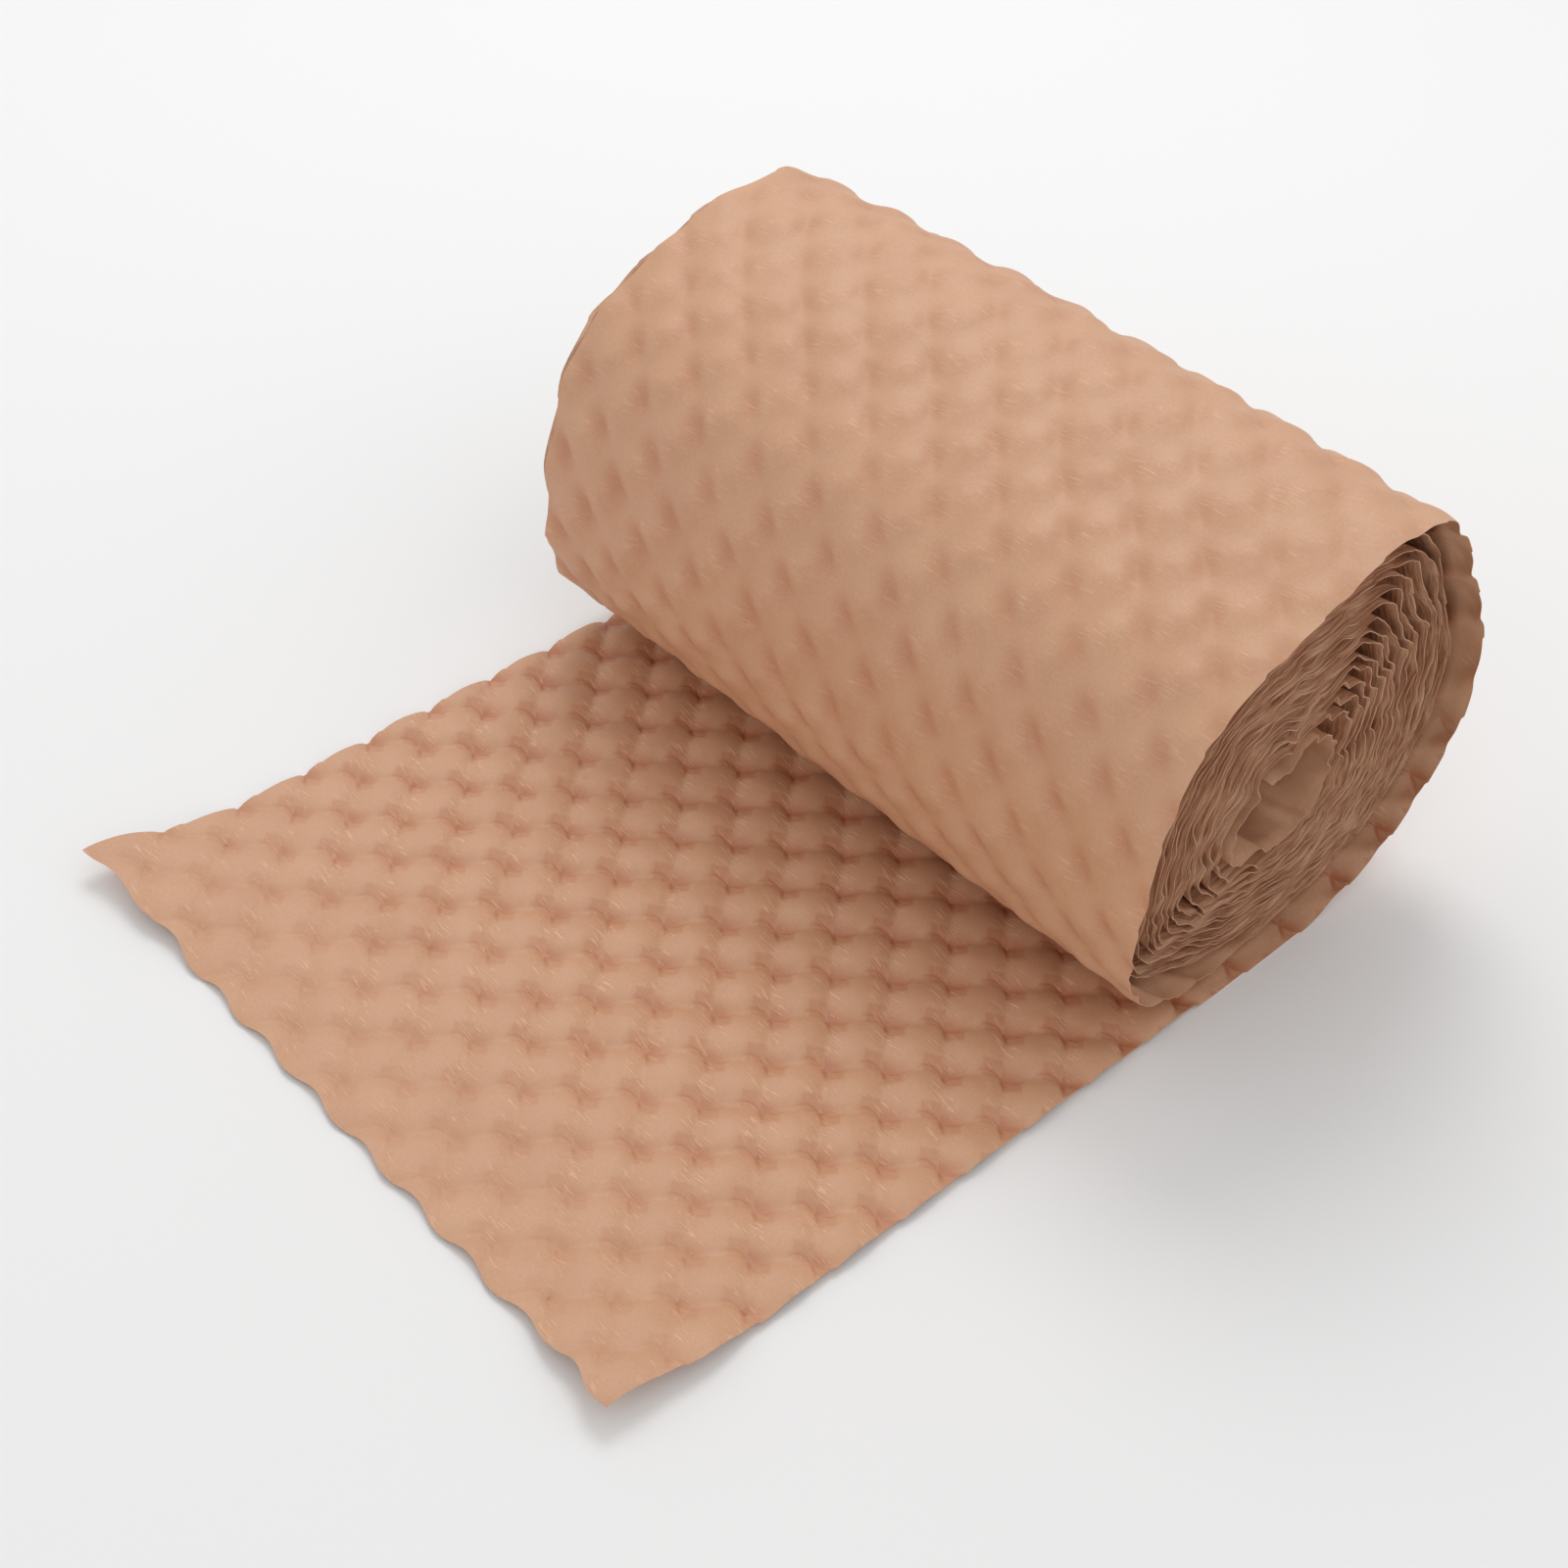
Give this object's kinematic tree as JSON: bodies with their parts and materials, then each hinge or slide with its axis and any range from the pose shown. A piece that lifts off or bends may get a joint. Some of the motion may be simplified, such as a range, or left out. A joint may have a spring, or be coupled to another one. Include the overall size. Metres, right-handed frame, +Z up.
{
  "type": "embossed kraft paper roll",
  "caption": "Soft roll of dimpled brown packing paper with an open middle, its outer end unrolled flat in front of it.",
  "frame": {"origin": "on the floor, at the middle of the patch that the roll rests on", "axes": "+Z up from the floor; +Y along the roll's length, from its open near end towards its far end; +X from the sheet's cut end towards the roll"},
  "size_m": [0.4124, 0.309, 0.2007],
  "materials": {
    "kraft_paper": "matt, uncoated, with fine embossing wrinkles"
  },
  "bodies": {
    "root": {"embossed_paper": "kraft_paper"}
  },
  "joints": []
}
